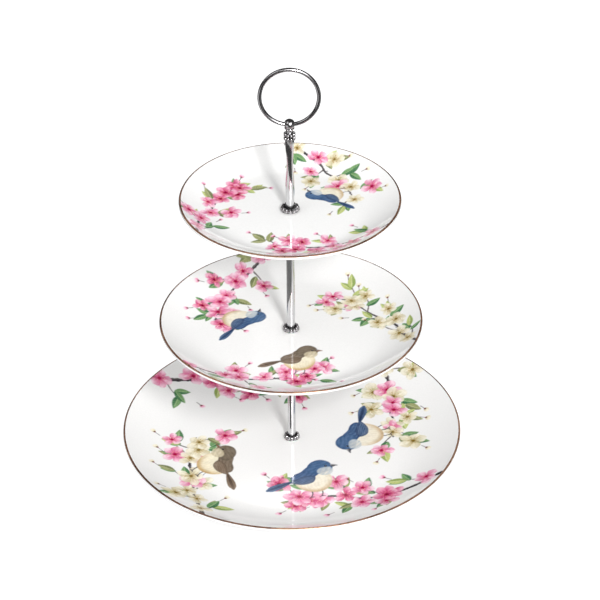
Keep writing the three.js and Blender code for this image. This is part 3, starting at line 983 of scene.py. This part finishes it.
def hardware(node, mesh, material, slot, crease=35.0):
    """A detailed piece standing for one CAD node, on that node's body."""
    return piece(node + "_detailed", *mesh, material, BODY_OF[node], slot, (node,), crease)


def rosette(node, tube_socket=3.3, floor=1.2, lobes=12):
    """Cast foot: rounded lobes pinched together, round a socket for the rod."""
    low, high, radius = box_mm(node)
    crest = (tube_socket + 0.4 + radius) / 2
    half = radius - crest
    rise = high - low - 0.5
    outline = [
        (THREADED_BORE, low),
        (radius - 0.55, low),
        (radius - 0.2, low + 0.12),
        (radius - 0.12, low + 0.3),
        (radius - 0.2, low + 0.42),
        *[(crest + half * math.cos(t), low + 0.5 + rise * math.sin(t))
          for t in np.linspace(0.0, math.pi, 17)],
        (tube_socket, low + floor),
        (THREADED_BORE, low + floor),
    ]
    vertices, faces = turned(outline, lobes * 16, closed=True)
    r = np.hypot(vertices[:, 0], vertices[:, 1])
    pinch = 1.0 - np.abs(np.cos(lobes / 2 * np.arctan2(vertices[:, 1], vertices[:, 0]))) ** 0.7
    lobed = vertices[:, 2] > low + 0.45
    outside = np.clip((r - crest) / half, 0, 1) * lobed
    over = np.clip((r - crest + half * 0.8) / half, 0, 1) * lobed
    scale = 1 - 0.62 * half * pinch * outside / np.maximum(r, 1)
    vertices[:, 0] *= scale
    vertices[:, 1] *= scale
    vertices[:, 2] -= 0.5 * (vertices[:, 2] - low - 0.45) * pinch * over
    hardware(node, (vertices, faces), cast_chrome, "chrome", 55.0)


def rod_tube(node):
    """Straight tube with a rolled-in lower end and a faced top."""
    low, high, radius = box_mm(node)
    outline = [
        (THREADED_BORE, low),
        *arc(radius - 1.0, low + 1.0, 1.0, -80, 0, 10),
        (radius, (low + high) / 2),
        *arc(radius - 0.3, high - 0.3, 0.3, 0, 90, 5),
        *arc(THREADED_BORE + 0.2, high - 0.2, 0.2, 90, 180, 4),
        (THREADED_BORE, (low + high) / 2),
    ]
    hardware(node, turned(outline, ROUND, closed=True), chrome, "chrome")


def washer(node, hole, edge, material, slot, dish=0.0):
    """Disc with rolled edges, slightly dished where it is soft."""
    low, high, radius = box_mm(node)
    middle = (hole + radius) / 2
    outline = [
        *arc(hole + edge, low + edge, edge, 180, 270, 4),
        (middle, low + dish),
        *arc(radius - edge, low + edge, edge, 270, 360, 4),
        *arc(radius - edge, high - edge, edge, 0, 90, 4),
        (middle, high - dish),
        *arc(hole + edge, high - edge, edge, 90, 180, 4),
    ]
    hardware(node, turned(outline, ROUND, closed=True), material, slot)


def threaded_bar(low, high, segments=36):
    """A bar with a rolled helical thread that runs out at both bevelled ends."""
    steps = int((high - low) / THREAD_PITCH * 8)
    heights = np.linspace(low, high, steps + 1)
    angles = np.linspace(0, 2 * math.pi, segments, endpoint=False)
    z, angle = np.meshgrid(heights, angles, indexing="ij")
    wave = (z / THREAD_PITCH - angle / (2 * math.pi)) % 1.0
    flank = np.clip(1.25 * np.abs(2 * wave - 1) - 0.1, 0, 1)
    bevel = np.clip(np.minimum(z - low, high - z) / 0.5, 0, 1)
    radius = np.minimum(THREAD_RADIUS - THREAD_DEPTH * flank, THREAD_RADIUS - 0.45 * (1 - bevel))
    wall = np.stack([radius * np.cos(angle), radius * np.sin(angle), z], -1).reshape(-1, 3)
    count = len(wall)
    vertices = np.vstack([wall, [[0, 0, low], [0, 0, high]]])
    faces = bands(steps, segments)
    for k in range(segments):
        n = (k + 1) % segments
        faces.append((count, n, k))
        faces.append((count + 1, steps * segments + k, steps * segments + n))
    return vertices, faces


def stud(node):
    low, high, _ = box_mm(node)
    hardware(node, threaded_bar(low, high), steel, "steel", 60.0)


def bottom_screw(node="bottom_screw"):
    """Button-head screw with a hexagon socket, under the bottom plate."""
    low, high, radius = box_mm(node)
    seat = low + 2.2
    socket = 1.25

    def hexagon(r, angle):
        if abs(r - socket) > 1e-6:
            return r
        return r / math.cos((angle + math.pi / 6) % (math.pi / 3) - math.pi / 6)

    outline = [
        (0.0, low + 1.45),
        (socket, low + 1.3),
        (socket, low + 0.1),
        (1.75, low),
        (2.4, low + 0.2),
        (3.05, low + 0.6),
        (3.55, low + 1.1),
        (3.85, low + 1.6),
        (radius, low + 2.0),
        (radius - 0.1, seat),
        (0.0, seat),
    ]
    head = turned(outline, 96, hexagon)
    shank = threaded_bar(seat - 0.2, high)
    hardware(node, joined(head, shank), steel, "steel", 40.0)


# ---- Handle -------------------------------------------------------------------------------

def handle_column(node="handle_column"):
    """Turned column: full at its head, drawn in to a waist, swelling above its foot."""
    low, high, _ = box_mm(node)
    bore_top = low + 7.6
    shape = [(0.0, 3.0), (0.28, 3.3), (0.66, 2.5), (1.0, 3.35)]
    outline = [
        (0.0, bore_top),
        (THREADED_BORE, bore_top),
        (THREADED_BORE, low),
        (2.4, low),
        (2.8, low + 0.4),
    ]
    for (start, r0), (end, r1) in zip(shape, shape[1:]):
        for k in range(16):
            ease = 0.5 - 0.5 * math.cos(math.pi * k / 16)
            share = start + (end - start) * k / 16
            outline.append((r0 + (r1 - r0) * ease, low + 1.0 + share * (high - low - 1.0)))
    outline += [
        (3.35, high - 0.15),
        (3.2, high),
        (PIN_BORE, high),
        (PIN_BORE, high - 6.5),
        (0.0, high - 6.5),
    ]
    hardware(node, turned(outline, ROUND), chrome, "chrome")


def bead(x, y, z, radius, columns=20, rows=12):
    """A round bead, a little flattened top and bottom."""
    angles = np.linspace(-90, 90, rows + 1)
    outline = [(radius * math.cos(math.radians(a)), radius * 0.97 * math.sin(math.radians(a)))
               for a in angles]
    vertices, faces = turned(outline, columns)
    return vertices + np.array([x, y, z]), faces


def bead_collar(node, beads=8, hub=2.75, bead_radius=1.3, circle=3.3):
    """A ring of round beads on a waisted hub."""
    low, high, _ = box_mm(node)
    middle = (low + high) / 2
    outline = [
        (PIN_BORE, low),
        (hub - 0.1, low),
        (hub + 0.15, low + 0.12),
        (hub + 0.15, low + 0.28),
        (hub - 0.25, low + 0.5),
        (hub - 0.45, middle),
        (hub - 0.25, high - 0.5),
        (hub + 0.15, high - 0.28),
        (hub + 0.15, high - 0.12),
        (hub - 0.1, high),
        (PIN_BORE, high),
    ]
    parts = [turned(outline, 64, closed=True)]
    for k in range(beads):
        angle = (k + 0.5) * 2 * math.pi / beads
        parts.append(bead(circle * math.cos(angle), circle * math.sin(angle), middle, bead_radius))
    hardware(node, joined(*parts), cast_chrome, "chrome", 40.0)


def ball_place():
    """The height of the ball's centre and its radius, which its width from front to back shows."""
    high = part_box("handle_ball")[1] / MM
    return high.z - high.y, high.y


def handle_neck(node="handle_neck"):
    """Cup that carries the ball, with a small rolled bead at its mouth."""
    low, high, mouth = box_mm(node)
    ball_height, ball_radius = ball_place()
    seat = ball_radius + 0.2
    from_angle = -math.degrees(math.acos((mouth - 0.25) / seat))
    to_angle = -math.degrees(math.acos(PIN_BORE / seat))
    flare = spline([(2.6, low + 1.0), (2.66, low + 1.7), (3.05, low + 2.6), (3.4, low + 3.2)], 5)
    outline = [
        (PIN_BORE, low),
        (2.6, low),
        *arc(2.55, low + 0.25, 0.25, -60, 60, 5),
        *[tuple(p) for p in flare],
        *arc(mouth - 0.3, high - 0.55, 0.3, -40, 70, 6),
        *arc(0.0, ball_height, seat, from_angle, to_angle, 10),
    ]
    hardware(node, turned(outline, ROUND, closed=True), chrome, "chrome", 45.0)


def handle_ball(node="handle_ball", hole=2.0, eased=0.25):
    """Ball bored across for the ring, on the spindle that strings the finial together."""
    low = box_mm(node)[0]
    centre, radius = ball_place()
    reach = math.degrees(math.asin((hole + eased) / radius))
    across = arc(0.0, 0.0, radius, -90 + reach, 90 - reach, 40)
    depth = math.sqrt(radius**2 - (hole + eased) ** 2)
    outline = [
        *across,
        (hole + 0.06, depth - eased * 0.8),
        (hole, depth - eased * 1.6),
        (hole, -depth + eased * 1.6),
        (hole + 0.06, -depth + eased * 0.8),
    ]
    vertices, faces = turned(outline, ROUND, closed=True)
    turned_over = vertices[:, [2, 1, 0]] * np.array([1, -1, 1])
    ball = turned_over + np.array([0, 0, centre])
    pin_outline = [(0.0, low), (PIN_RADIUS - 0.3, low), (PIN_RADIUS, low + 0.3),
                   (PIN_RADIUS, centre - 3.2), (PIN_RADIUS - 0.3, centre - 2.9), (0.0, centre - 2.9)]
    hardware(node, joined((ball, faces), turned(pin_outline, 48)), cast_chrome, "chrome", 40.0)


def ring_handle(node="ring_handle", radius=21.3, wire=1.5, sag=0.2):
    """Closed wire ring that hangs in the ball, leaning back a little."""
    low, high = (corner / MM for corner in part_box(node))
    centre_height = ball_place()[0]
    lean = math.asin((low.y + high.y) / 2 / (radius - sag))
    around, across = 224, 36
    u, v = np.meshgrid(
        np.linspace(0, 2 * math.pi, around, endpoint=False),
        np.linspace(0, 2 * math.pi, across, endpoint=False),
        indexing="ij",
    )
    out = radius + wire * np.cos(v)
    x = out * np.sin(u)
    up = radius - sag - out * np.cos(u)
    y = wire * np.sin(v)
    points = np.stack(
        [x, y * math.cos(lean) + up * math.sin(lean),
         centre_height - y * math.sin(lean) + up * math.cos(lean)], -1,
    ).reshape(-1, 3)
    faces = []
    for j in range(around):
        m = (j + 1) % around
        for k in range(across):
            n = (k + 1) % across
            faces.append((j * across + k, m * across + k, m * across + n, j * across + n))
    hardware(node, (points, faces), cast_chrome, "chrome")


bottom_screw()
washer("bottom_steel_washer", 2.3, 0.15, steel, "steel")
for tier in ("bottom", "middle", "top"):
    washer(tier + "_plate_lower_soft_washer", 2.3, 0.25, silicone, "soft_washer", 0.04)
    washer(tier + "_plate_upper_soft_washer", 2.3, 0.2, silicone, "soft_washer", 0.03)
for tier in ("middle", "top"):
    washer(tier + "_support_washer", 2.3, 0.25, chrome, "chrome")
for rod in ("lower", "middle"):
    rosette(rod + "_foot")
    rod_tube(rod + "_tube")
    stud(rod + "_stud")
rosette("top_foot")
handle_column()
bead_collar("lower_bead_collar")
bead_collar("upper_bead_collar")
handle_neck()
handle_ball()
ring_handle()


# ---- Floor, light and camera --------------------------------------------------------------

VIEW_ELEVATION = 33.22
FLOOR_WHITE = 0.68              # glow that the camera sees, so the floor reads as plain paper
FLOOR_GLOW = 0.20               # glow that lights the undersides

FLOOR_EXTENT = 6.0              # metres from the middle to each edge
SEEN_WHITE = 1.05               # what the camera sees past the floor
ROUND_CARD_STEPS = 13
FLAG_STEPS = 24


def sheet_mesh(name, corners, faces, material):
    """A stage piece from corners in metres."""
    mesh = bpy.data.meshes.new(name)
    mesh.from_pydata(corners, [], faces)
    mesh.materials.append(material)
    ob = placed(name, mesh)
    return ob


def matt_grey(name, shade):
    s = Shading(name)
    s.set(Roughness=1.0, Specular_IOR_Level=0.0)
    s.shader.inputs["Base Color"].default_value = (shade, shade, shade, 1.0)
    return s


def floor():
    """Flat pale floor under the stand, bright enough to read as plain paper."""
    s = Shading("pale_floor")
    tone = s.ramp(s.noise(2.5, 2.0), [(0.3, (0.52, 0.52, 0.52)), (0.7, (0.55, 0.55, 0.55))])
    s.link(tone, s.shader.inputs["Base Color"])
    s.set(Roughness=0.9, Specular_IOR_Level=0.1)
    s.shader.inputs["Emission Color"].default_value = (1.0, 1.0, 1.0, 1.0)
    seen = s.add("ShaderNodeLightPath").outputs["Is Camera Ray"]
    s.link(s.span(seen, FLOOR_GLOW, FLOOR_WHITE), s.shader.inputs["Emission Strength"])
    corners = [(x * FLOOR_EXTENT, y * FLOOR_EXTENT, 0.0)
               for x, y in ((-1, -1), (1, -1), (1, 1), (-1, 1))]
    sheet_mesh("floor", corners, [range(4)], s.material)


def only_in_reflections(ob):
    ob.visible_camera = False
    ob.visible_diffuse = False
    ob.visible_shadow = False
    ob.visible_transmission = False


FLOOR_CARDS = (
    # name, from and to azimuth in degrees, grey
    ("front", -26.0, 46.0, 0.03),
    ("right", 46.0, 104.0, 0.22),
    ("behind_right", 104.0, 178.0, 0.02),
    ("behind_left", 178.0, 262.0, 0.04),
    ("left", 262.0, 284.0, 0.30),
)


def card(name, start, end, shade, near=0.31, far=3.0):
    """A studio card lying round the stand that only polished metal and glaze reflect."""
    s = matt_grey("card_" + name, shade)
    turns = np.radians(np.linspace(start, end, ROUND_CARD_STEPS))
    corners = [(far * math.sin(t), -far * math.cos(t), 0.002) for t in turns]
    corners += [(near * math.sin(t), -near * math.cos(t), 0.002) for t in turns[::-1]]
    only_in_reflections(sheet_mesh("card_" + name, corners, [range(len(corners))], s.material))


def dark_side(s):
    """Lets light that meets the back of a card pass through it."""
    behind = s.add("ShaderNodeNewGeometry").outputs["Backfacing"]
    clear = s.add("ShaderNodeBsdfTransparent")
    choose = s.add("ShaderNodeMixShader")
    s.link(behind, choose.inputs["Fac"])
    s.link(s.shader.outputs["BSDF"], choose.inputs[1])
    s.link(clear.outputs["BSDF"], choose.inputs[2])
    s.link(choose.outputs["Shader"], s.nodes["Material Output"].inputs["Surface"])


FLAGS = (
    # CAD node it hangs round, radius (m), from and to azimuth (degrees), grey, then its edges
    # at those two azimuths as shares of the node's height: low, high, low, high
    ("handle_column", 0.034, -150.0, 66.0, 0.09, 0.88, 1.25, 0.50, 0.84),
    ("middle_tube", 0.030, -178.0, 30.0, 0.30, 0.14, 1.30, 0.36, 0.66),
    ("lower_tube", 0.016, -46.0, -14.0, 0.05, 0.05, 0.56, 0.10, 0.62),
)


def flag(node, radius, start, end, shade, *edges):
    """A dark strip bent round the spine, seen only in the polished metal that it faces."""
    s = matt_grey("flag_" + node, shade)
    dark_side(s)
    low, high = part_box(node)
    drop = radius * math.tan(math.radians(VIEW_ELEVATION))
    rows = []
    for k in range(FLAG_STEPS + 1):
        share = k / FLAG_STEPS
        turn = math.radians(start + (end - start) * share)
        for first, last in ((edges[0], edges[2]), (edges[1], edges[3])):
            height = low.z + (first + (last - first) * share) * (high.z - low.z) - drop
            rows.append((radius * math.sin(turn), -radius * math.cos(turn), height))
    faces = [(2 * k, 2 * k + 1, 2 * k + 3, 2 * k + 2) for k in range(FLAG_STEPS)]
    only_in_reflections(sheet_mesh("flag_" + node, rows, faces, s.material))


def direction_to(azimuth, elevation):
    """A unit direction; azimuth is in degrees from the front towards +X."""
    turn, rise = math.radians(azimuth), math.radians(elevation)
    return Vector(
        (math.cos(rise) * math.sin(turn), -math.cos(rise) * math.cos(turn), math.sin(rise)))


LIGHT_AIM = Vector((0.0, 0.0, 0.12))
AREA_LIGHTS = (
    # name, azimuth, elevation, then distance, width and height in metres, and power in watts
    ("key", 16.0, 36.0, 1.8, 0.24, 0.32, 24.0),
    ("fill", -60.0, 50.0, 1.6, 0.9, 0.9, 3.0),
)


def area_light(name, azimuth, elevation, distance, width, height, power):
    """A softbox aimed at the stand."""
    light = bpy.data.lights.new(name, "AREA")
    light.shape = "RECTANGLE"
    light.size = width
    light.size_y = height
    light.energy = power
    ob = placed(name, light)
    out = direction_to(azimuth, elevation)
    ob.location = LIGHT_AIM + out * distance
    ob.rotation_euler = (-out).to_track_quat("-Z", "Y").to_euler()


SOFTBOXES = (
    # azimuth from the front towards +X, elevation, half-width (degrees), brightness
    (6.0, 35.0, 14.0, 5.2),
    (28.0, 37.0, 15.0, 5.2),
    (18.0, 12.0, 12.0, 3.0),
    (58.0, 42.0, 12.0, 1.8),
    (-110.0, 20.0, 9.0, 1.5),
)
SOFT_EDGE = 4.0                 # degrees over which a softbox fades, on each side of its edge
ROOM_GLOW = 0.70                # even light that reaches matt surfaces
ROOM_DARK = 0.06                # what polished metal sees between the softboxes


def white_room():
    """Even white light; polished surfaces see a dim room with softboxes, the camera sees white."""
    world = bpy.data.worlds.new("white_room")
    world.use_nodes = True
    bpy.context.scene.world = world
    nodes, links = world.node_tree.nodes, world.node_tree.links
    glow = nodes["Background"]
    glow.inputs["Color"].default_value = (1.0, 1.0, 1.0, 1.0)
    glow.inputs["Strength"].default_value = ROOM_GLOW
    direction = nodes.new("ShaderNodeTexCoord").outputs["Generated"]
    total = None
    for azimuth, elevation, half_width, brightness in SOFTBOXES:
        facing = nodes.new("ShaderNodeVectorMath")
        facing.operation = "DOT_PRODUCT"
        facing.inputs[1].default_value = direction_to(azimuth, elevation)
        links.new(direction, facing.inputs[0])
        box = nodes.new("ShaderNodeMapRange")
        box.interpolation_type = "SMOOTHSTEP"
        box.inputs["From Min"].default_value = math.cos(math.radians(half_width + SOFT_EDGE))
        box.inputs["From Max"].default_value = math.cos(math.radians(half_width - SOFT_EDGE))
        box.inputs["To Max"].default_value = brightness
        links.new(facing.outputs["Value"], box.inputs["Value"])
        add = nodes.new("ShaderNodeMath")
        links.new(box.outputs["Result"], add.inputs[0])
        if total is None:
            add.inputs[1].default_value = ROOM_DARK
        else:
            links.new(total, add.inputs[1])
        total = add.outputs["Value"]
    mirrored = nodes.new("ShaderNodeBackground")
    links.new(total, mirrored.inputs["Strength"])
    seen = nodes.new("ShaderNodeBackground")
    seen.inputs["Color"].default_value = (1.0, 1.0, 1.0, 1.0)
    seen.inputs["Strength"].default_value = SEEN_WHITE
    path = nodes.new("ShaderNodeLightPath")
    shown = glow
    for ray, other in (("Is Glossy Ray", mirrored), ("Is Camera Ray", seen)):
        choose = nodes.new("ShaderNodeMixShader")
        links.new(path.outputs[ray], choose.inputs["Fac"])
        links.new(shown.outputs[0], choose.inputs[1])
        links.new(other.outputs["Background"], choose.inputs[2])
        shown = choose
    links.new(shown.outputs["Shader"], nodes["World Output"].inputs["Surface"])


CAMERA_TARGET = (0.0, 0.0, 0.1375)
CAMERA_DISTANCE = 2.070
CAMERA_LENS = 166.0             # millimetres, on a sensor 36 mm wide
CAMERA_ASIDE = 9.2 / 600        # puts the spine this share of the picture's width left of centre
CAMERA_ROLL = -0.45             # degrees


def camera():
    """Long lens looking down from the front, with the spine a little left of centre."""
    data = bpy.data.cameras.new("camera")
    data.lens = CAMERA_LENS
    data.sensor_width = 36.0
    data.shift_x = CAMERA_ASIDE
    data.clip_end = 50.0
    ob = placed("camera", data)
    rise = math.radians(VIEW_ELEVATION)
    back = Vector((0.0, -math.cos(rise), math.sin(rise)))
    ob.location = Vector(CAMERA_TARGET) + back * CAMERA_DISTANCE
    tilt = Matrix.Rotation(math.pi / 2 - rise, 4, "X")
    roll = Matrix.Rotation(math.radians(CAMERA_ROLL), 4, "Z")
    ob.rotation_euler = (tilt @ roll).to_euler()
    bpy.context.scene.camera = ob


floor()
for floor_card in FLOOR_CARDS:
    card(*floor_card)
for spine_flag in FLAGS:
    flag(*spine_flag)
white_room()
for light in AREA_LIGHTS:
    area_light(*light)
camera()
bpy.context.scene.view_settings.view_transform = "Standard"
